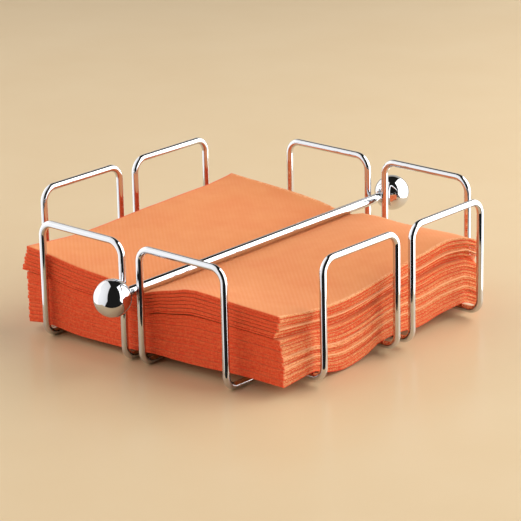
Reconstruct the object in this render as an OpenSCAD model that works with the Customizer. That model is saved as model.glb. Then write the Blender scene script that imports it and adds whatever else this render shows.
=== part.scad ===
// Square wire napkin holder: four chromed wire rings welded where they cross, a loose
// weight bar with a ball at each end, and the stack of folded napkins that it holds down.
// Millimetres, +Z up, the table is z = 0, the bar lies along Y, the front is -Y.

/* [Wire rings] */
// Diameter of the wire
wire_d = 3.5; // [2.5:0.1:4.5]
// Distance between the two upright loops of one ring, from wire centre to wire centre
ring_span = 182; // [181:1:210]
// Width of a loop, from leg centre to leg centre
loop_w = 53.5; // [45:0.5:60]
// Height of a loop, from the centre of its base wire to the centre of its top wire
loop_h = 57.5; // [54:0.5:80]
// Clear slot between two neighbouring loops, which guides the weight bar
slot_w = 7.9; // [6.5:0.1:12]
// Centre-line radius of the bends at the top of a loop
top_bend_r = 7; // [4:0.5:12]
// Centre-line radius of the bends where a leg turns into the base
foot_bend_r = 6; // [4:0.5:7.5]
// How far two crossing wires are pressed into each other at a weld
weld_setdown = 0.7; // [0.3:0.1:1]

/* [Weight bar] */
// Diameter of the rod
rod_d = 5; // [4:0.1:6]
// Diameter of a ball
ball_d = 18.4; // [14:0.1:22]
// Clear play along the rod between a ball and the outside of the loops
ball_play = 2.4; // [0.5:0.1:5]
// Diameter of the turned spigot that is pressed into a ball
spigot_d = 3.2; // [2:0.1:3.6]
// Length of the spigot
spigot_len = 7; // [4:0.5:9]
// Diameter of the flat that is faced on a ball for the rod's shoulder
ball_flat_d = 6.4; // [6.2:0.1:8]
// How much lower the front ball lies than the back one, as the stack is uneven
bar_drop = 1.6; // [0:0.1:2]

/* [Napkins] */
// Number of folded napkins in the stack
napkin_count = 20; // [10:1:22]
// Folded size of a napkin across the bar
napkin_w = 161; // [140:1:162]
// Folded size of a napkin along the bar
napkin_l = 156; // [135:1:160]
// Thickness of a folded napkin where the bar presses on the stack
napkin_t = 1.26; // [0.8:0.01:1.5]
// Air between two napkins
napkin_air = 0.15; // [0.08:0.01:0.2]
// How far the stack is turned in the holder, in degrees
stack_turn = 2.2; // [0:0.1:2.5]
// Clear play between the stack and the front left leg
stack_play = 2; // [1.8:0.1:3]
// How far the stack lies to the right of the middle
stack_right_shift = 2.1; // [0:0.1:2.2]
// How far the loose sides of the stack stand above its middle
side_rise = 7; // [0:0.5:10]
// Number of napkins in the loose bundle on top
bundle_count = 7; // [2:1:9]
// How far the lowest napkin of that bundle is shifted to the left
bundle_left = 1.9; // [0:0.1:3]
// How far that bundle leans back to the right towards its top
bundle_lean = 4; // [0:0.1:4]
// How far that bundle is shifted to the front
bundle_front = 0.4; // [0:0.1:0.6]
// How unevenly the edges of the stack are knocked together
edge_scatter = 0.2; // [0:0.05:0.3]

/* [Hidden] */
$fn = 48;
overrun = 1;

// Places of the wires
wire_r = wire_d / 2;
leg_plane = ring_span / 2;
leg_in = (slot_w + wire_d) / 2;
leg_out = leg_in + loop_w;
ring_mid = (leg_in + leg_out) / 2;
lower_z = wire_r;
upper_z = lower_z + wire_d - weld_setdown;

// Heights at which the stack lies on the wires and the rod lies on the stack
seat_gap = 0.3;
stack_z = upper_z + wire_r + seat_gap;
stack_h = napkin_count * (napkin_t + napkin_air) - napkin_air;
bar_z = stack_z + stack_h + seat_gap + rod_d / 2;

// The stack lies askew against the front left leg; its edges are measured in its own turned axes
stack_front = leg_out * sin(stack_turn) - (leg_plane - wire_r - stack_play) * cos(stack_turn);
stack_back = stack_front + napkin_l;
stack_right = napkin_w / 2 + stack_right_shift;
stack_left = stack_right - napkin_w;

// Rod and balls; the balls hang outside the loops, and outside a stack that reaches further
rod_r = rod_d / 2;
ball_flat_h = sqrt(pow(ball_d, 2) - pow(ball_flat_d, 2)) / 2;
shoulder_y = max(leg_plane + wire_r, stack_back) + ball_play;
ball_y = shoulder_y + ball_flat_h;
bar_slope = bar_drop / (2 * ball_y);
bar_tilt = atan(bar_slope);
spigot_chamfer = 0.4;
bore_relief = 0.6;

// Lines across the stack, from left to right; the inner ones are square to the holder
outer_line = leg_out + wire_d;
left_line_shares = [0.64, 0.28];
right_line_shares = [0.14, 0.3, 0.54];
line_x = concat([stack_left, -outer_line], -outer_line * left_line_shares, [-rod_r, rod_r],
                outer_line * right_line_shares, [outer_line, stack_right]);

// Lines along the stack, from front to back, on the wires that carry it and between them
front_span_shares = [0.79, 0.58, 0.3];
back_span_shares = [0.34, 0.7];
line_y = concat([stack_front, -leg_out], [for (s = front_span_shares) -leg_in - loop_w * s],
                [-leg_in, leg_in], [for (s = back_span_shares) leg_in + loop_w * s],
                [leg_out, stack_back]);

// How high the top rises on each line across, at the front, in the middle and at the back, and
// how far each of these shapes reaches along the stack
front_rise_shares = [1.41, 1.23, 0.77, 0.5, 0, 0, 0.43, 0.73, 1.21, 0.99, 0.86];
middle_rise_shares = [1, 0.85, 0.5, 0.25, 0, 0, 0.15, 0.35, 0.6, 0.85, 1];
back_rise_shares = [1.21, 1.04, 0.81, 0.45, 0, 0, 0.27, 0.27, 0.07, 0.11, -0.04];
front_reach_shares = [1, 0.25, 0.05, 0, 0, 0, 0, 0, 0, 0, 0];
left_reach_shares = [0, 0.65, 0.85, 0.9, 0.95, 1, 1, 1, 1, 0.8, 0];
right_reach_shares = [0, 0.2, 0.28, 0.28, 0.38, 0.59, 0.79, 1.03, 1.19, 0.86, 0];
back_reach_shares = [0, 0, 0, 0, 0, 0, 0, 0, 0, 0.25, 1];

// How far the stack hangs down between the upper wires, and over the outer ones, as shares of
// the height of the upper wires above the lower ones
hang = wire_d - weld_setdown;
sag_depth_shares = [1.2, 0.85, 0.7, 0.5, 0.4, 0.4, 0.4, 0.5, 0.6, 1, 2];
sag_shares = [0, 0, 0.65, 1, 0.75, 0, 0, 0.36, 0.05, 0, 0];
front_droop_shares = [1, 0.5, 1.15, 1.1, 0.85, 0.8, 0.6, 0.7, 0.64, 0.25, 0.36];
back_droop_shares = [1.4, 0.85, 0.5, 0.3, 0.2, 0.2, 0.3, 0.4, 0.6, 0.9, 2.1];

// Scatter of the napkins' edges, a fixed pattern of turns from one napkin to the next
scatter_turn = 137;

function napkin_name(i) = str("napkin_", i < 10 ? "0" : "", i);

// A quarter turn of the wire about Z, from the X axis to the Y axis
module wire_bend(bend_r) {
    rotate_extrude(angle = 90) translate([bend_r, 0]) circle(d = wire_d);
}

// Half a base run, one leg with its two bends and half a top run
module ring_quarter() {
    straight_base = leg_plane - foot_bend_r;
    straight_leg = loop_h - foot_bend_r - top_bend_r;
    straight_top = loop_w / 2 - top_bend_r;
    translate([loop_w / 2, straight_base, 0]) {
        rotate([90, 0, 0]) cylinder(d = wire_d, h = straight_base);
        translate([0, 0, foot_bend_r]) rotate([0, 90, 0]) wire_bend(foot_bend_r);
    }
    translate([loop_w / 2, leg_plane, foot_bend_r]) cylinder(d = wire_d, h = straight_leg);
    translate([straight_top, leg_plane, loop_h]) {
        translate([0, 0, -top_bend_r]) rotate([90, 0, 0]) wire_bend(top_bend_r);
        rotate([0, -90, 0]) cylinder(d = wire_d, h = straight_top);
    }
}

// A closed ring of wire along Y, bent up into a loop at both ends
module wire_ring() {
    for (flip_x = [0, 1], flip_y = [0, 1])
        mirror([flip_x, 0, 0]) mirror([0, flip_y, 0]) ring_quarter();
}

// The base runs of the two lower rings
module lower_runs() {
    for (x = [-leg_out, -leg_in, leg_in, leg_out])
        translate([x, 0, lower_z]) rotate([90, 0, 0]) cylinder(d = wire_d, h = ring_span, center = true);
}

module lower_ring(side) {
    color("silver") translate([side * ring_mid, 0, lower_z]) wire_ring();
}

// An upper ring lies across the lower ones, set down into them at its eight welds
module upper_ring(side) {
    color("gainsboro") difference() {
        translate([0, side * ring_mid, upper_z]) rotate([0, 0, 90]) wire_ring();
        lower_runs();
    }
}

module ring_left() { lower_ring(-1); }
module ring_right() { lower_ring(1); }
module ring_front() { upper_ring(-1); }
module ring_back() { upper_ring(1); }

// Lays a piece of the bar, made level along Y, on the uneven stack
module lay_bar() {
    translate([0, 0, bar_z]) rotate([bar_tilt, 0, 0]) children();
}

// The rod with a chamfered spigot turned on both ends
module bar_rod() {
    spigot_r = spigot_d / 2;
    tip_y = shoulder_y + spigot_len;
    half = [[rod_r, shoulder_y], [spigot_r, shoulder_y], [spigot_r, tip_y - spigot_chamfer],
            [spigot_r - spigot_chamfer, tip_y], [0, tip_y]];
    other_half = [for (i = [len(half) - 1 : -1 : 0]) [half[i].x, -half[i].y]];
    color("whitesmoke") lay_bar() rotate([-90, 0, 0]) rotate_extrude() polygon(concat(half, other_half));
}

// A ball with a faced flat and a blind bore towards the rod
module bar_ball(side) {
    bore_len = spigot_len + bore_relief;
    color("silver") lay_bar() translate([0, side * ball_y, 0]) rotate([side * 90, 0, 0]) difference() {
        sphere(d = ball_d);
        translate([0, 0, ball_flat_h]) cylinder(d = ball_d, h = ball_d);
        translate([0, 0, ball_flat_h - bore_len]) cylinder(d = spigot_d, h = bore_len + overrun);
    }
}

module front_ball() { bar_ball(-1); }
module back_ball() { bar_ball(1); }

// Height of the stack's underside where a line across meets a line along it
function stack_bottom(i, j) =
    stack_z - hang * (j == 0 ? front_droop_shares[i]
        : j == len(line_y) - 1 ? back_droop_shares[i]
        : sag_depth_shares[i] * sag_shares[j]);

// Height of the stack's upper side there
function stack_top(i, j) =
    let (side_reach_share = line_x[i] < 0 ? left_reach_shares[j] : right_reach_shares[j])
    stack_z + stack_h + bar_slope * line_y[j]
        + side_rise * (front_rise_shares[i] * front_reach_shares[j]
            + middle_rise_shares[i] * side_reach_share
            + back_rise_shares[i] * back_reach_shares[j]);

// Shift of a napkin in the loose bundle, counted from the bottom of the stack
function bundle_shift(n) =
    let (lean_share = (n - 1 - napkin_count + bundle_count) / (bundle_count - 1))
    lean_share < 0 ? [0, 0] : [bundle_lean * lean_share - bundle_left, -bundle_front];

// Shift of one napkin's edges
function napkin_shift(n) =
    edge_scatter * [cos(scatter_turn * n), sin(scatter_turn * n)] + bundle_shift(n);

// Height there at a share of the stack's depth
function stack_level(i, j, level_share) =
    stack_bottom(i, j) + (stack_top(i, j) + napkin_air - stack_bottom(i, j)) * level_share;

// The line that a cell at the edge starts from, or the line itself further in
function beside(k, lines) = k == 0 ? 1 : k == len(lines) - 1 ? k - 1 : k;

// Place of a grid point seen from above; the edges are turned, the inner lines are not
function plan_point(i, j, shift) =
    let (side = line_x[i] + shift.x,
         end = line_y[j] + shift.y,
         on_side = beside(i, line_x) != i,
         on_end = beside(j, line_y) != j)
    on_side && on_end ? [side * cos(stack_turn) - end * sin(stack_turn),
                         side * sin(stack_turn) + end * cos(stack_turn)]
        : on_side ? [(side - line_y[j] * sin(stack_turn)) / cos(stack_turn), line_y[j]]
        : on_end ? [line_x[i], (end + line_x[i] * sin(stack_turn)) / cos(stack_turn)]
        : [line_x[i], line_y[j]];

// A point of napkin n; only its edges are shifted, along the slope that the stack has there
function napkin_point(n, i, j, level_share, lift) =
    let (shift = napkin_shift(n),
         bi = beside(i, line_x),
         bj = beside(j, line_y),
         level = stack_level(i, j, level_share),
         plan = plan_point(i, j, shift),
         inner = plan_point(bi, bj, [0, 0]),
         run_x_share = bi == i ? 0 : shift.x / (plan.x - shift.x - inner.x),
         run_y_share = bj == j ? 0 : shift.y / (plan.y - shift.y - inner.y))
    [plan.x, plan.y,
     level + (level - stack_level(bi, j, level_share)) * run_x_share
         + (level - stack_level(i, bj, level_share)) * run_y_share + lift];

// Two triangles for a face with four corners
function split_face(a, b, c, d) = [[a, b, c], [a, c, d]];

// One folded napkin, draped with the stack
module napkin(n) {
    nx = len(line_x);
    ny = len(line_y);
    top = nx * ny;
    under = [for (j = [0 : ny - 1], i = [0 : nx - 1])
        napkin_point(n, i, j, (n - 1) / napkin_count, 0)];
    upper = [for (j = [0 : ny - 1], i = [0 : nx - 1])
        napkin_point(n, i, j, n / napkin_count, -napkin_air)];
    cells = [for (j = [0 : ny - 2], i = [0 : nx - 2]) j * nx + i];
    under_faces = [for (k = cells) each split_face(k, k + 1, k + nx + 1, k + nx)];
    upper_faces = [for (k = cells)
        each split_face(top + k, top + k + nx, top + k + nx + 1, top + k + 1)];
    front_back_faces = [for (i = [0 : nx - 2]) let (k = (ny - 1) * nx + i) each concat(
        split_face(i, top + i, top + i + 1, i + 1),
        split_face(k + 1, top + k + 1, top + k, k))];
    left_right_faces = [for (j = [0 : ny - 2]) let (k = j * nx, m = k + nx - 1) each concat(
        split_face(k + nx, top + k + nx, top + k, k),
        split_face(m, top + m, top + m + nx, m + nx))];
    color(n % 2 == 0 ? "coral" : "tomato") polyhedron(
        points = concat(under, upper),
        faces = concat(under_faces, upper_faces, front_back_faces, left_right_faces));
}

ring_left();
ring_right();
ring_front();
ring_back();
bar_rod();
front_ball();
back_ball();
for (n = [1 : napkin_count])
    napkin(n);
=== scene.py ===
import math

import bmesh
import bpy
import numpy as np
from mathutils import Matrix, Quaternion, Vector, noise


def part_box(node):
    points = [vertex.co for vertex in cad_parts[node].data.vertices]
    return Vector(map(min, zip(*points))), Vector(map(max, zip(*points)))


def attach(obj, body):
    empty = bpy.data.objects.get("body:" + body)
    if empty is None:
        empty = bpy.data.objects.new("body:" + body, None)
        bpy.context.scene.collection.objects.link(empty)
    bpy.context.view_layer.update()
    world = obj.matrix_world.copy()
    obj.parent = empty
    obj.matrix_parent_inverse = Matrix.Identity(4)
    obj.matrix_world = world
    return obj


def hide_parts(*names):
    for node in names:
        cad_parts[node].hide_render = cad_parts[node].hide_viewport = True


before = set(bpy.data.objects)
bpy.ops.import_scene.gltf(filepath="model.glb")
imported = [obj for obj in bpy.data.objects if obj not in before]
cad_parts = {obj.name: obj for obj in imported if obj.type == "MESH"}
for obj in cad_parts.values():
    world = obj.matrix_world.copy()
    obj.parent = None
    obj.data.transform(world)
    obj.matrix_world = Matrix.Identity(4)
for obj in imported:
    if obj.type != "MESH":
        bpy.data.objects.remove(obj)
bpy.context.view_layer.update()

# Wire rings
# Four closed rings of drawn mild steel wire, each bent over a former so that both its ends stand
# up as loops. Two lie on the table and two lie across them, welded at every crossing, and the
# finished frame is buffed and plated.
mm = 0.001
wire_d = 3.5 * mm
top_bend = 7 * mm
foot_bend = 6 * mm
wire_sides = 40
bend_steps = 14
sharp_angle = math.radians(40)
merge_dist = 0.0001 * mm


def linear(hex_colour):
    """An sRGB colour such as "#F2A169" as linear red, green, blue and alpha."""
    shares = [int(hex_colour[i:i + 2], 16) / 255 for i in (1, 3, 5)]
    return [s / 12.92 if s <= 0.04045 else ((s + 0.055) / 1.055) ** 2.4 for s in shares] + [1.0]


def add_node(tree, kind, settings, inputs):
    """Adds a shader node; an input is a plain value or the output of another node."""
    node = tree.nodes.new(kind)
    for name, value in settings.items():
        setattr(node, name, value)
    for name, value in inputs.items():
        if isinstance(value, bpy.types.NodeSocket):
            tree.links.new(value, node.inputs[name])
        else:
            node.inputs[name].default_value = value
    return node


# Bright chrome over nickel: a mirror that takes its colour from what stands round it, with a
# faint haze in patches where the buffing left it, and long shallow waves from the drawing die.
haze_patch = 5 * mm
wave_length = 11 * mm
wave_height = 0.004 * mm
chrome = bpy.data.materials.new("bright_chrome_plate")
chrome.use_nodes = True
tree = chrome.node_tree
tree.nodes.clear()
place = add_node(tree, "ShaderNodeTexCoord", {}, {})
haze = add_node(tree, "ShaderNodeTexNoise", {}, {
    "Vector": place.outputs["Object"], "Scale": 1 / haze_patch, "Detail": 3.0})
gloss = add_node(tree, "ShaderNodeMapRange", {}, {
    "Value": haze.outputs["Fac"], "From Min": 0.3, "From Max": 0.75, "To Min": 0.025, "To Max": 0.075})
waves = add_node(tree, "ShaderNodeTexNoise", {}, {
    "Vector": place.outputs["Object"], "Scale": 1 / wave_length, "Detail": 1.0})
relief = add_node(tree, "ShaderNodeBump", {}, {
    "Height": waves.outputs["Fac"], "Strength": 1.0, "Distance": wave_height})
plate = add_node(tree, "ShaderNodeBsdfPrincipled", {}, {
    "Base Color": linear("#D0D1D4"), "Metallic": 1.0, "Roughness": gloss.outputs["Result"],
    "Normal": relief.outputs["Normal"]})
add_node(tree, "ShaderNodeOutputMaterial", {}, {"Surface": plate.outputs["BSDF"]})


def last_ring(geom):
    """The edges among the newest vertices of an extrusion or a spin."""
    verts = {g for g in geom if isinstance(g, bmesh.types.BMVert)}
    return [g for g in geom if isinstance(g, bmesh.types.BMEdge) and set(g.verts) <= verts]


def pull(bm, ring, step):
    """Draws a ring of edges out along step and returns the ring at its end."""
    geom = bmesh.ops.extrude_edge_only(bm, edges=ring)["geom"]
    bmesh.ops.translate(bm, vec=step, verts=[g for g in geom if isinstance(g, bmesh.types.BMVert)])
    return last_ring(geom)


def quarter_bend(bm, ring, centre, axis):
    """Bends on from a ring of edges by a quarter turn and returns the ring at its end."""
    geom = bmesh.ops.spin(bm, geom=ring, cent=centre, axis=axis, angle=math.pi / 2, steps=bend_steps)
    return last_ring(geom["geom_last"])


def make_piece(bm, name, material):
    """Closes seams, points the faces outwards, shades them smooth and makes the object."""
    bmesh.ops.remove_doubles(bm, verts=bm.verts, dist=merge_dist)
    bmesh.ops.recalc_face_normals(bm, faces=bm.faces)
    for face in bm.faces:
        face.smooth = True
    for edge in bm.edges:
        edge.smooth = edge.is_manifold and edge.calc_face_angle(0) < sharp_angle
    mesh = bpy.data.meshes.new(name)
    bm.to_mesh(mesh)
    bm.free()
    mesh.materials.append(material)
    piece = bpy.data.objects.new(name, mesh)
    bpy.context.scene.collection.objects.link(piece)
    return piece


for ring_name in ("ring_left", "ring_right", "ring_front", "ring_back"):
    low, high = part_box(ring_name)
    size = high - low
    turn = 0 if size.y > size.x else math.pi / 2
    half_loop = (min(size.x, size.y) - wire_d) / 2
    leg_plane = (max(size.x, size.y) - wire_d) / 2
    loop_h = size.z - wire_d
    bm = bmesh.new()
    bmesh.ops.create_circle(
        bm, segments=wire_sides, radius=wire_d / 2,
        matrix=Matrix.Translation((half_loop, 0, 0)) @ Matrix.Rotation(math.pi / 2, 4, "X"))
    ring = pull(bm, bm.edges[:], (0, leg_plane - foot_bend, 0))
    ring = quarter_bend(bm, ring, (half_loop, leg_plane - foot_bend, foot_bend), (1, 0, 0))
    ring = pull(bm, ring, (0, 0, loop_h - foot_bend - top_bend))
    ring = quarter_bend(bm, ring, (half_loop - top_bend, leg_plane, loop_h - top_bend), (0, -1, 0))
    pull(bm, ring, (top_bend - half_loop, 0, 0))
    for axis in "XY":
        bmesh.ops.mirror(bm, geom=bm.verts[:] + bm.edges[:] + bm.faces[:], axis=axis, merge_dist=merge_dist)
    middle = (low + high) / 2
    bmesh.ops.rotate(bm, matrix=Matrix.Rotation(turn, 3, "Z"), verts=bm.verts)
    bmesh.ops.translate(bm, vec=(middle.x, middle.y, low.z + wire_d / 2), verts=bm.verts)
    wire = make_piece(bm, ring_name + "_wire", chrome)
    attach(wire, "frame")
    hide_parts(ring_name)

# Welds
# At each of the sixteen crossings the current squeezes a little molten steel out between the two
# wires. It sets as a low uneven collar in the four corners and is plated with the rest.
collar_r = 2.1 * mm
collar_h = 0.75 * mm
collar_swell = 0.12
bm = bmesh.new()
lower_low, lower_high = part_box("ring_right")
upper_low, upper_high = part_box("ring_back")
weld_z = (lower_low.z + wire_d + upper_low.z) / 2
lower_runs = [lower_low.x + wire_d / 2, lower_high.x - wire_d / 2]
upper_runs = [upper_low.y + wire_d / 2, upper_high.y - wire_d / 2]
for x in [-run for run in lower_runs] + lower_runs:
    for y in [-run for run in upper_runs] + upper_runs:
        collar = bmesh.ops.create_icosphere(
            bm, subdivisions=3, radius=1,
            matrix=Matrix.Translation((x, y, weld_z)) @ Matrix.Diagonal((collar_r, collar_r, collar_h, 1)))
        for vert in collar["verts"]:
            swell = 1 + collar_swell * noise.noise(vert.co / collar_r)
            vert.co = Vector((x, y, weld_z)) + swell * (vert.co - Vector((x, y, weld_z)))
welds = make_piece(bm, "weld_collars", chrome)
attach(welds, "frame")

# Folded napkins
# Twenty tissue napkins, dyed orange and embossed all over. Each is a sheet folded at the left and
# then at the front, with its open edges to the right and the back, and they lie loose on the base
# wires. The upper seven are a bundle that went in later.
napkin_count = 20
flat_w = 322 * mm
flat_l = 312 * mm
layer_t = 0.28 * mm
folded_t = 1.5 * mm
left_fold_r = folded_t / 8
front_fold_r = folded_t / 4
fold_cells = 4
flat_cells = 36
crowding = 0.6
nose_share = 0.35
nose_wander = 0.2 * mm
nose_wave = 26 * mm
nose_reach = 20 * mm
lower_count = 13
lower_slack = -0.18
upper_slack = -0.03
bundle_slack = 0.5
bundle_held_share = 0.9
others_held_share = 0.5
bundle_overhang = 0.8 * mm
corner_draw = 2.5 * mm
corner_draw_reach = 25 * mm
lower_draw_share = 0.7
edge_slack = -0.05
slack_reach = 8 * mm
edge_wander = 0.7 * mm
edge_wave = 35 * mm
edge_retreat_share = 0.15
end_sharpness = 8
layer_scatter = 0.3 * mm
half_scatter_share = 1.4
side_scatter_share = 0.5
side_blend = 15 * mm
peeping = {6: 0.7 * mm, 9: 0.9 * mm, 17: 1.1 * mm}
wrinkle_h = 0.16 * mm
wrinkle_wave = 17 * mm

# Painted light and shade where a layer ends at the open edges, from 1 for deep red orange painted
# shade to -1 for a pale painted highlight
layer_end_shade = 0.07
stray_painted_light = -0.3
recess_painted_shade = 0.4
lowest_painted_shade = 1.2
peeping_painted_highlight = -1.4
top_painted_highlight = -0.5
front_paling = -0.8
front_paling_reach = 5 * mm

# Dyed embossed tissue: soft and matt, with light and shade painted into its colour: a painted
# highlight of pale orange where light would fall on the loose fibres, and painted shade of deep red
# orange in the folds and cut edges, where light passes from fibre to fibre. The embossing is a
# grid of small dots set diagonally.
emboss_pitch = 1.95 * mm
wave_texture_period = 2 * math.pi / 20
emboss_h = 0.022 * mm
emboss_reach = 110 * mm
mottle_size = 9 * mm
streak_size = 40 * mm
fibre_size = 0.5 * mm
grain_size = 0.8 * mm
fold_reach = 1.7 * mm
edge_reach = 2.5 * mm
tissue = bpy.data.materials.new("dyed_embossed_tissue")
tissue.use_nodes = True
tree = tissue.node_tree
tree.nodes.clear()
sheet_uv = add_node(tree, "ShaderNodeUVMap", {"uv_map": "sheet"}, {})
sheet_size = add_node(tree, "ShaderNodeMapping", {}, {
    "Vector": sheet_uv.outputs["UV"], "Location": (-flat_w / 2, -flat_l / 2, 0),
    "Scale": (flat_w, flat_l, 1)})
diagonal = add_node(tree, "ShaderNodeMapping", {}, {
    "Vector": sheet_size.outputs["Vector"], "Rotation": (0, 0, math.pi / 4)})
dot_rows = [add_node(tree, "ShaderNodeTexWave", {"wave_type": "BANDS", "bands_direction": axis}, {
    "Vector": diagonal.outputs["Vector"], "Scale": wave_texture_period / emboss_pitch}) for axis in "XY"]
second_row = add_node(tree, "ShaderNodeMapRange", {}, {
    "Value": dot_rows[1].outputs["Fac"], "To Min": 0.75, "To Max": 1.0})
dots = add_node(tree, "ShaderNodeMath", {"operation": "MULTIPLY"}, {
    0: second_row.outputs["Result"], 1: dot_rows[0].outputs["Fac"]})
fibres = add_node(tree, "ShaderNodeTexNoise", {}, {
    "Vector": sheet_size.outputs["Vector"], "Scale": 1 / fibre_size, "Detail": 4.0})
# The painted light and shade of the layer ends, carried on the napkin meshes
painted_edge_light = add_node(tree, "ShaderNodeAttribute", {"attribute_name": "painted_edge_light"}, {})
own_sheet = add_node(tree, "ShaderNodeObjectInfo", {}, {})
grain = add_node(tree, "ShaderNodeTexNoise", {"noise_dimensions": "4D"}, {
    "Vector": sheet_size.outputs["Vector"], "W": own_sheet.outputs["Random"], "Scale": 1 / grain_size,
    "Detail": 1.0})
speckle = add_node(tree, "ShaderNodeMapRange", {}, {
    "Value": grain.outputs["Fac"], "From Min": 0.35, "From Max": 0.65})
mottle = add_node(tree, "ShaderNodeTexNoise", {}, {
    "Vector": sheet_size.outputs["Vector"], "Scale": 1 / mottle_size, "Detail": 3.0})
from_folds = add_node(tree, "ShaderNodeVectorMath", {"operation": "ABSOLUTE"}, {
    0: sheet_size.outputs["Vector"]})
off_folds = add_node(tree, "ShaderNodeSeparateXYZ", {}, {"Vector": from_folds.outputs["Vector"]})
# The embossing, in its relief and in the painted highlight on its dots, fades away from the front fold
emboss_fade = add_node(tree, "ShaderNodeMapRange", {}, {
    "Value": off_folds.outputs["Y"], "From Min": emboss_reach / 3, "From Max": emboss_reach,
    "To Min": 1.0, "To Max": 0.4})
patchy = add_node(tree, "ShaderNodeMath", {"operation": "MULTIPLY"}, {
    0: emboss_fade.outputs["Result"], 1: mottle.outputs["Fac"]})
faded_dots = add_node(tree, "ShaderNodeMath", {"operation": "MULTIPLY"}, {
    0: dots.outputs["Value"], 1: patchy.outputs["Value"]})
relief_h = add_node(tree, "ShaderNodeMath", {"operation": "MULTIPLY_ADD"}, {
    0: fibres.outputs["Fac"], 1: 0.35, 2: faded_dots.outputs["Value"]})
relief = add_node(tree, "ShaderNodeBump", {}, {
    "Height": relief_h.outputs["Value"], "Strength": 1.0, "Distance": emboss_h})
flat_tint = add_node(tree, "ShaderNodeMix", {"data_type": "RGBA"}, {
    "Factor": mottle.outputs["Fac"], "A": linear("#E3864B"), "B": linear("#EA955B")})
streak = add_node(tree, "ShaderNodeTexNoise", {}, {
    "Vector": sheet_size.outputs["Vector"], "Scale": 1 / streak_size, "Detail": 4.0, "Distortion": 0.6})
streak_share = add_node(tree, "ShaderNodeMapRange", {}, {
    "Value": streak.outputs["Fac"], "From Min": 0.45, "From Max": 0.7, "To Min": 0.0, "To Max": 0.45})
streaked = add_node(tree, "ShaderNodeMix", {"data_type": "RGBA"}, {
    "Factor": streak_share.outputs["Result"], "A": flat_tint.outputs["Result"], "B": linear("#E17842")})
# The raised dots are painted paler than the sheet: a painted highlight on the embossing
dot_tint = add_node(tree, "ShaderNodeMix", {"data_type": "RGBA"}, {
    "Factor": faded_dots.outputs["Value"], "A": streaked.outputs["Result"], "B": linear("#EA9963")})
# Painted shade: within fold_reach of the folds the tissue is painted deep red orange, standing in for light
# that has passed through the fibres and between the layers
front_fold, left_fold = [add_node(tree, "ShaderNodeMapRange", {"interpolation_type": "SMOOTHSTEP"}, {
    "Value": off_folds.outputs[axis], "From Min": 0.0, "From Max": fold_reach,
    "To Min": 1.0, "To Max": 0.0}) for axis in "YX"]
right_edge, back_edge = [add_node(tree, "ShaderNodeMapRange", {"interpolation_type": "SMOOTHSTEP"}, {
    "Value": off_folds.outputs[axis], "From Min": flat_size / 2 - edge_reach, "From Max": flat_size / 2})
    for axis, flat_size in (("X", flat_w), ("Y", flat_l))]
folds = add_node(tree, "ShaderNodeMath", {"operation": "MAXIMUM"}, {
    0: front_fold.outputs["Result"], 1: left_fold.outputs["Result"]})
open_edges = add_node(tree, "ShaderNodeMath", {"operation": "MAXIMUM"}, {
    0: right_edge.outputs["Result"], 1: back_edge.outputs["Result"]})
stipple = add_node(tree, "ShaderNodeMapRange", {}, {
    "Value": speckle.outputs["Result"], "To Min": -0.55, "To Max": 0.65})
# The open edges carry the tissue's random speckle plus the painted light and shade of the layer ends
speckle_and_edge_light = add_node(tree, "ShaderNodeMath", {"operation": "ADD"}, {
    0: stipple.outputs["Result"], 1: painted_edge_light.outputs["Fac"]})
edge_speckle_and_light = add_node(tree, "ShaderNodeMath", {"operation": "MULTIPLY"}, {
    0: open_edges.outputs["Value"], 1: speckle_and_edge_light.outputs["Value"]})
# Where that is negative, the edge is painted pale as a highlight
pale_speckle_and_highlight = add_node(tree, "ShaderNodeMath", {"operation": "MULTIPLY"}, {
    0: edge_speckle_and_light.outputs["Value"], 1: -1.0})
pale_speckle_and_highlight_tint = add_node(tree, "ShaderNodeMix", {"data_type": "RGBA"}, {
    "Factor": pale_speckle_and_highlight.outputs["Value"], "A": dot_tint.outputs["Result"], "B": linear("#FFC08C")})
# Where the painted deep red orange shade of the folds and cut edges goes
deep_shade_share = add_node(tree, "ShaderNodeMath", {"operation": "MAXIMUM"}, {
    0: folds.outputs["Value"], 1: edge_speckle_and_light.outputs["Value"]})
fold_shade_tint = add_node(tree, "ShaderNodeMix", {"data_type": "RGBA"}, {
    "Factor": speckle.outputs["Result"], "A": linear("#F4663A"), "B": linear("#EC4824")})
edge_shade_tint = add_node(tree, "ShaderNodeMix", {"data_type": "RGBA"}, {
    "Factor": edge_speckle_and_light.outputs["Value"], "A": fold_shade_tint.outputs["Result"], "B": linear("#E6401A")})
tint = add_node(tree, "ShaderNodeMix", {"data_type": "RGBA"}, {
    "Factor": deep_shade_share.outputs["Value"], "A": pale_speckle_and_highlight_tint.outputs["Result"],
    "B": edge_shade_tint.outputs["Result"]})
paper = add_node(tree, "ShaderNodeBsdfPrincipled", {}, {
    "Base Color": tint.outputs["Result"], "Roughness": 0.9, "Specular IOR Level": 0.2,
    "Sheen Weight": 0.12, "Sheen Roughness": 0.6, "Sheen Tint": linear("#FFD9BE"),
    "Normal": relief.outputs["Normal"]})
add_node(tree, "ShaderNodeOutputMaterial", {}, {"Surface": paper.outputs["BSDF"]})


def from_fold(share, arc, half):
    """Distance from a fold on the flat sheet: a few cells round the fold, the rest beyond it."""
    bend_share = fold_cells / (fold_cells + flat_cells)
    beyond = np.clip((np.abs(share) - bend_share) / (1 - bend_share), 0, 1)
    spread = beyond - crowding * np.sin(2 * np.pi * beyond) / (2 * np.pi)
    return np.sign(share) * (np.minimum(np.abs(share) / bend_share, 1) * arc + (half - arc) * spread)


def smooth_rise(value, reach):
    """Goes from -1 to 1 across reach on both sides of zero, without a kink."""
    share = np.clip(value / reach, -1, 1)
    return share * (3 - share ** 2) / 2


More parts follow.
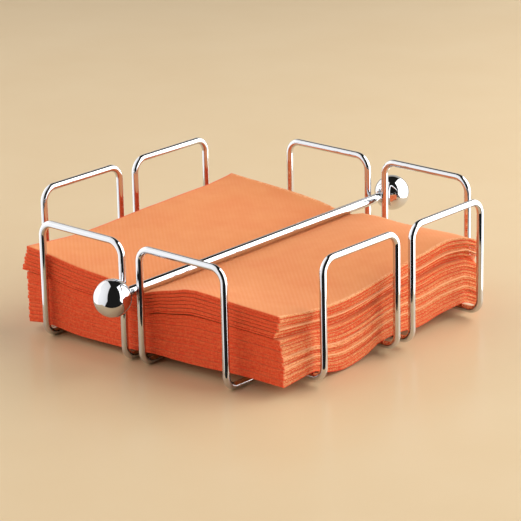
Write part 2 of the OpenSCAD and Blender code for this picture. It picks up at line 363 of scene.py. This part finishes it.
def drape(knots, heights, at):
    """A curve without overshoot through heights at knots, in a column for each point, taken there."""
    knots = np.broadcast_to(knots, heights.shape)
    widths = np.diff(knots, axis=0)
    slopes = np.diff(heights, axis=0) / widths
    tangents = np.vstack([slopes[:1], np.zeros_like(slopes[1:]), slopes[-1:]])
    before, after = slopes[:-1], slopes[1:]
    rising_on = before * after > 0
    tangents[1:-1][rising_on] = 2 * before[rising_on] * after[rising_on] / (before + after)[rising_on]
    cell = (knots[1:-1] < at).sum(axis=0)
    column = np.arange(len(at))
    width = widths[cell, column]
    t = (at - knots[cell, column]) / width
    start, end = heights[cell, column], heights[cell + 1, column]
    leave, arrive = tangents[cell, column] * width, tangents[cell + 1, column] * width
    return (start * (1 + 2 * t) * (1 - t) ** 2 + leave * t * (1 - t) ** 2
            + end * t ** 2 * (3 - 2 * t) + arrive * t ** 2 * (t - 1))


for number in range(1, napkin_count + 1):
    napkin_name = f"napkin_{number:02d}"

    # The solid's own corner points, in rows from front to back and each row from left to right, with
    # the heights of its two faces there
    corners = {}
    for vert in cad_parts[napkin_name].data.vertices:
        corners.setdefault((round(vert.co.x, 6), round(vert.co.y, 6)), []).append(vert.co.z)
    spots = np.array(sorted([(y, x, min(heights), max(heights)) for (x, y), heights in corners.items()]))
    rows = [row[np.argsort(row[:, 1])] for row in spots.reshape(math.isqrt(len(spots)), -1, 4)]
    corner = rows[0][0, 1::-1]
    across = rows[0][-1, 1::-1] - corner
    across /= np.linalg.norm(across)
    along = np.array([-across[1], across[0]])

    # The flat sheet, with its cells crowded at the folds and the edges
    bm = bmesh.new()
    cells = 2 * (fold_cells + flat_cells)
    bmesh.ops.create_grid(bm, x_segments=cells, y_segments=cells, size=1)
    shares = np.array([vert.co for vert in bm.verts])
    front_arc = front_fold_r * math.pi / 2
    left_arc = left_fold_r * math.pi / 2
    u = from_fold(shares[:, 0], left_arc, flat_w / 2)
    v = from_fold(shares[:, 1], front_arc, flat_l / 2)
    sheet_layer = bm.loops.layers.uv.new("sheet")
    for face in bm.faces:
        for loop in face.loops:
            index = loop.vert.index
            loop[sheet_layer].uv = (u[index] / flat_w + 0.5, v[index] / flat_l + 0.5)

    # Folded at the left, then at the front
    bend = np.clip(u / left_fold_r, -math.pi / 2, math.pi / 2)
    x = nose_share * left_fold_r * (1 - np.cos(bend)) + np.maximum(np.abs(u) - left_arc, 0)
    inward = left_fold_r * np.sin(bend)
    bend = np.clip(v / front_fold_r, -math.pi / 2, math.pi / 2)
    y = (nose_share * (front_fold_r + left_fold_r - (front_fold_r - inward) * np.cos(bend))
         + np.maximum(np.abs(v) - front_arc, 0))
    level = (front_fold_r - inward) * np.sin(bend) / folded_t + 0.5

    # No two folds lie quite in line, no two layers end together, and the lowest layer of some
    # napkins peeps out, painted paler as a highlight
    wander = np.array([[noise.noise((a / nose_wave, number * 7.3, 0.5)),
                        noise.noise((b / edge_wave, number * 3.7, 0.3)),
                        noise.noise((a / edge_wave, number * 3.7, 5.3))] for a, b in zip(x, y)])
    y += nose_wander * wander[:, 0] * (1 - np.minimum(y / nose_reach, 1))
    upper_half, inner_side = np.where(v > 0, 1, 0), smooth_rise(u, side_blend)
    lowest = (1 - upper_half) * (1 - inner_side) / 2
    chance = np.array([[noise.noise((number * 5.1, half * 2.3, 0.7)),
                        noise.noise((number * 6.7, half * 2.9, 3.1))] for half in (1, 2)])
    stray = (half_scatter_share * chance[upper_half, 0]
             + side_scatter_share * inner_side * chance[upper_half, 1])
    peep = peeping.get(number, 0) * lowest
    right_end = (np.abs(u) / flat_w * 2) ** end_sharpness
    back_end = (np.abs(v) / flat_l * 2) ** end_sharpness
    shoved = 1 if number > lower_count else lower_draw_share * (number / lower_count) ** 3
    drawn_in = corner_draw * shoved * np.exp(-y / corner_draw_reach)
    x += right_end * (peep + layer_scatter * stray - drawn_in
                      - edge_wander * (edge_retreat_share + wander[:, 1]))
    y += back_end * (layer_scatter * stray - edge_wander * (edge_retreat_share + wander[:, 2]))
    edge_course = np.where(right_end > back_end, wander[:, 1], wander[:, 2])
    # Painted light and shade at the layer ends: layers that stick out are painted paler as if lit, and
    # recessed ones deeper red orange as if shaded. The lowest layer of each napkin is painted deep as shade
    # between the napkins, and a peeping one pale as a highlight. The top napkin's upper layers are painted
    # pale as if lit from above, and all the layers are paler towards the front
    painted_edge_lights = layer_end_shade + stray_painted_light * stray + recess_painted_shade * edge_course
    painted_edge_lights += (peeping_painted_highlight if number in peeping else lowest_painted_shade) * lowest
    painted_edge_lights += front_paling * np.exp(-y / front_paling_reach)
    if number == napkin_count:
        painted_edge_lights += top_painted_highlight * upper_half
    painted_edge_light_layer = bm.verts.layers.float.new("painted_edge_light")
    for vert, tone in zip(bm.verts, painted_edge_lights):
        vert[painted_edge_light_layer] = tone

    # The folds of the lower napkins swell and close up, those of the bundle less, and its lowest
    # napkin is drawn up off the stack below
    first_up = number == lower_count + 1
    front_slack = bundle_slack if first_up else upper_slack if number > lower_count else lower_slack
    from_front = np.clip(y / slack_reach, 0, 1)
    from_open = np.clip(np.minimum(flat_l / 2 - y, flat_w / 2 - x) / slack_reach, 0, 1)
    pressed = front_slack * (1 - from_front) ** 2 + edge_slack * (1 - from_open) ** 2 * from_front
    held = bundle_held_share if first_up else others_held_share
    level = held + (level - held) * (1 - pressed)

    # Laid in the solid's place, with the stack's small wrinkles
    overhang = bundle_overhang if number > lower_count else 0
    plan = corner + np.outer(x + layer_t / 2, across) + np.outer(y + layer_t / 2 - overhang, along)
    rows_y = np.array([np.interp(plan[:, 0], row[:, 1], row[:, 0]) for row in rows])
    faces = []
    for side in (2, 3):
        row_heights = [drape(row[:, 1:2], np.repeat(row[:, side:side + 1], len(plan), axis=1), plan[:, 0])
                       for row in rows]
        faces.append(drape(rows_y, np.array(row_heights), plan[:, 1]))
    under, upper = faces
    wrinkle = np.array([noise.noise((a / wrinkle_wave, b / wrinkle_wave, 0.0)) for a, b in plan])
    z = under + (upper - under) * level + wrinkle_h * wrinkle * number / napkin_count
    for vert, point in zip(bm.verts, np.column_stack((plan, z))):
        vert.co = point
    napkin = make_piece(bm, napkin_name + "_sheet", tissue)
    thickness = napkin.modifiers.new("layer_thickness", "SOLIDIFY")
    thickness.thickness = layer_t
    thickness.offset = 0
    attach(napkin, "napkins")
    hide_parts(napkin_name)

# Weight bar
# A turned steel rod with a steel ball pressed on each end, plated like the frame. It lies loose on
# the napkins, and the slots between the loops guide it as the stack gets lower.
rod_sides = 64
shoulder_bevel = 0.3 * mm
ball_steps = 5
rod_low, rod_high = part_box("bar_rod")
rod_r = (rod_high.x - rod_low.x) / 2
balls = [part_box(ball_name) for ball_name in ("front_ball", "back_ball")]
ball_r = (balls[0][1].x - balls[0][0].x) / 2
bar_middle = sum((low + high for low, high in balls), Vector()) / 4
bar_slope = ((balls[1][0] + balls[1][1] - balls[0][0] - balls[0][1]) / 2).zy
tilt = Matrix.Rotation(math.atan2(*bar_slope), 4, "X")
ball_y = (balls[1][1].y - balls[0][0].y) / 2 - ball_r
ball_flat = (balls[1][1].y - balls[1][0].y) - ball_r
shoulder_y = ball_y - ball_flat
bm = bmesh.new()
bmesh.ops.create_circle(
    bm, segments=rod_sides, radius=rod_r, cap_ends=True,
    matrix=Matrix.Translation((0, -shoulder_y, 0)) @ Matrix.Rotation(math.pi / 2, 4, "X"))
geom = bmesh.ops.extrude_face_region(bm, geom=bm.faces[:])["geom"]
bmesh.ops.translate(
    bm, vec=(0, 2 * shoulder_y, 0), verts=[g for g in geom if isinstance(g, bmesh.types.BMVert)])
rims = [edge for edge in bm.edges if abs(edge.verts[0].co.y - edge.verts[1].co.y) < merge_dist]
bmesh.ops.bevel(bm, geom=rims, offset=shoulder_bevel, affect="EDGES", segments=3, profile=0.5, material=-1)
bmesh.ops.transform(bm, matrix=Matrix.Translation(bar_middle) @ tilt, verts=bm.verts)
rod = make_piece(bm, "bar_rod_steel", chrome)
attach(rod, "bar")
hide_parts("bar_rod")

for ball_name, side in (("front_ball", -1), ("back_ball", 1)):
    bm = bmesh.new()
    bmesh.ops.create_icosphere(
        bm, subdivisions=ball_steps, radius=ball_r, matrix=Matrix.Translation((0, side * ball_y, 0)))
    cut = bmesh.ops.bisect_plane(
        bm, geom=bm.verts[:] + bm.edges[:] + bm.faces[:], plane_co=(0, side * shoulder_y, 0),
        plane_no=(0, -side, 0), clear_outer=True)
    rim = [g for g in cut["geom_cut"] if isinstance(g, bmesh.types.BMEdge)]
    bmesh.ops.edgenet_fill(bm, edges=rim)
    bmesh.ops.transform(bm, matrix=Matrix.Translation(bar_middle) @ tilt, verts=bm.verts)
    ball = make_piece(bm, ball_name + "_steel", chrome)
    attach(ball, "bar")
    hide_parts(ball_name)

# Floor
# A plain pale table top with a thin varnish. The chrome shows it only near the holder, as a small
# table would, and the floor that goes on from there to fill the view doesn't show in the chrome.
floor_r = 4.0
table_side = 150 * mm
table_front = 125 * mm
table_back = 500 * mm
floor_sides = 96
cloud_size = 60 * mm
camera_azimuth, camera_elevation, camera_roll = (math.radians(a) for a in (41.95, 18.38, -1.23))
rightwards = Vector((math.cos(camera_azimuth), math.sin(camera_azimuth), 0))
nearer = Vector((math.sin(camera_azimuth), -math.cos(camera_azimuth), 0))
upwards = Vector((0, 0, 1))
table_paint = bpy.data.materials.new("varnished_table_paint")
table_paint.use_nodes = True
tree = table_paint.node_tree
tree.nodes.clear()
place = add_node(tree, "ShaderNodeTexCoord", {}, {})
cloud = add_node(tree, "ShaderNodeTexNoise", {}, {
    "Vector": place.outputs["Object"], "Scale": 1 / cloud_size, "Detail": 2.0})
coat = add_node(tree, "ShaderNodeMix", {"data_type": "RGBA"}, {
    "Factor": cloud.outputs["Fac"], "A": linear("#DFC296"), "B": linear("#E4CAA1")})
paint = add_node(tree, "ShaderNodeBsdfPrincipled", {}, {
    "Base Color": coat.outputs["Result"], "Roughness": 0.6, "Specular IOR Level": 0.3,
    "Coat Weight": 0.5, "Coat Roughness": 0.25})
add_node(tree, "ShaderNodeOutputMaterial", {}, {"Surface": paint.outputs["BSDF"]})
borders = ((rightwards, table_side), (-rightwards, table_side),
           (nearer, table_front), (-nearer, table_back))
for floor_name, is_table in (("table_top", True), ("studio_floor", False)):
    bm = bmesh.new()
    bmesh.ops.create_circle(bm, segments=floor_sides, radius=floor_r, cap_ends=True)
    for outwards, reach in borders:
        bmesh.ops.bisect_plane(bm, geom=bm.verts[:] + bm.edges[:] + bm.faces[:],
                               plane_co=outwards * reach, plane_no=outwards)
    other = [face for face in bm.faces if is_table != all(
        face.calc_center_median().dot(outwards) < reach for outwards, reach in borders)]
    bmesh.ops.delete(bm, geom=other, context="FACES")
    floor = make_piece(bm, floor_name, table_paint)
    floor.visible_glossy = is_table

# Light
# Two large square soft boxes lean in from the left and the right of the camera, each with a corner
# up and brightest straight on. Between and above them the room is dark, and low down behind the
# object is a pale wall.
box_spread = math.radians(164)
scene = bpy.context.scene
scene.view_settings.view_transform = "Standard"
for box_name, radiance, corners in (
        ("left_soft_box", 1.16, ((-0.22, 0.08, 1.47), (-0.81, 1.60, 0.05), (-0.38, -1.07, 0.32))),
        ("right_soft_box", 3.05, ((0.52, 0.08, 1.40), (1.24, 1.30, -0.03), (0.59, -1.20, 0.34)))):
    top, front, far = (rightwards * c[0] + nearer * c[1] + upwards * c[2] for c in corners)
    sides = [front - top, far - top]
    away = sides[0].cross(sides[1]).normalized()
    if away.dot(front + far) < 0:
        away.negate()
        sides.reverse()
    lengthwise = sides[0].normalized()
    lamp = bpy.data.lights.new(box_name, "AREA")
    lamp.shape = "RECTANGLE"
    lamp.size = sides[0].length
    lamp.size_y = sides[1].length
    lamp.spread = box_spread
    lamp.energy = radiance * math.pi * lamp.size * lamp.size_y
    soft_box = bpy.data.objects.new(box_name, lamp)
    soft_box.matrix_world = Matrix.Translation((front + far) / 2) @ Matrix(
        (lengthwise, away.cross(lengthwise), away)).transposed().to_4x4()
    soft_box.visible_camera = False
    scene.collection.objects.link(soft_box)

room = bpy.data.worlds.new("dark_room_pale_wall")
scene.world = room
room.use_nodes = True
tree = room.node_tree
tree.nodes.clear()
place = add_node(tree, "ShaderNodeTexCoord", {}, {})
facing = add_node(tree, "ShaderNodeVectorMath", {"operation": "DOT_PRODUCT"}, {
    0: place.outputs["Generated"], 1: (-math.sin(camera_azimuth), math.cos(camera_azimuth), 0)})
behind = add_node(tree, "ShaderNodeMapRange", {}, {
    "Value": facing.outputs["Value"], "From Min": -0.1, "From Max": 0.35})
height = add_node(tree, "ShaderNodeSeparateXYZ", {}, {"Vector": place.outputs["Generated"]})
low_down = add_node(tree, "ShaderNodeMapRange", {}, {
    "Value": height.outputs["Z"], "From Min": 0.45, "From Max": 0.6, "To Min": 1.0, "To Max": 0.0})
wall = add_node(tree, "ShaderNodeMath", {"operation": "MULTIPLY"}, {
    0: behind.outputs["Result"], 1: low_down.outputs["Result"]})
glow = add_node(tree, "ShaderNodeMapRange", {}, {
    "Value": wall.outputs["Value"], "To Min": 0.02, "To Max": 0.6})
backdrop = add_node(tree, "ShaderNodeBackground", {}, {
    "Color": linear("#F6F0E6"), "Strength": glow.outputs["Result"]})
add_node(tree, "ShaderNodeOutputWorld", {}, {"Surface": backdrop.outputs["Background"]})

# Camera
# A long lens from the front right, a little above the holder, as the photograph was taken.
camera_away = 1271.5 * mm
aim = Vector((0, 0, 27.9 * mm))
back = Vector((math.sin(camera_azimuth) * math.cos(camera_elevation),
               -math.cos(camera_azimuth) * math.cos(camera_elevation), math.sin(camera_elevation)))
lens = bpy.data.cameras.new("camera")
lens.sensor_width = 36
lens.lens = 177.2
camera = bpy.data.objects.new("camera", lens)
camera.location = aim + back * camera_away
camera.rotation_mode = "QUATERNION"
camera.rotation_quaternion = back.to_track_quat("Z", "Y") @ Quaternion((0, 0, 1), camera_roll)
scene.collection.objects.link(camera)
scene.camera = camera
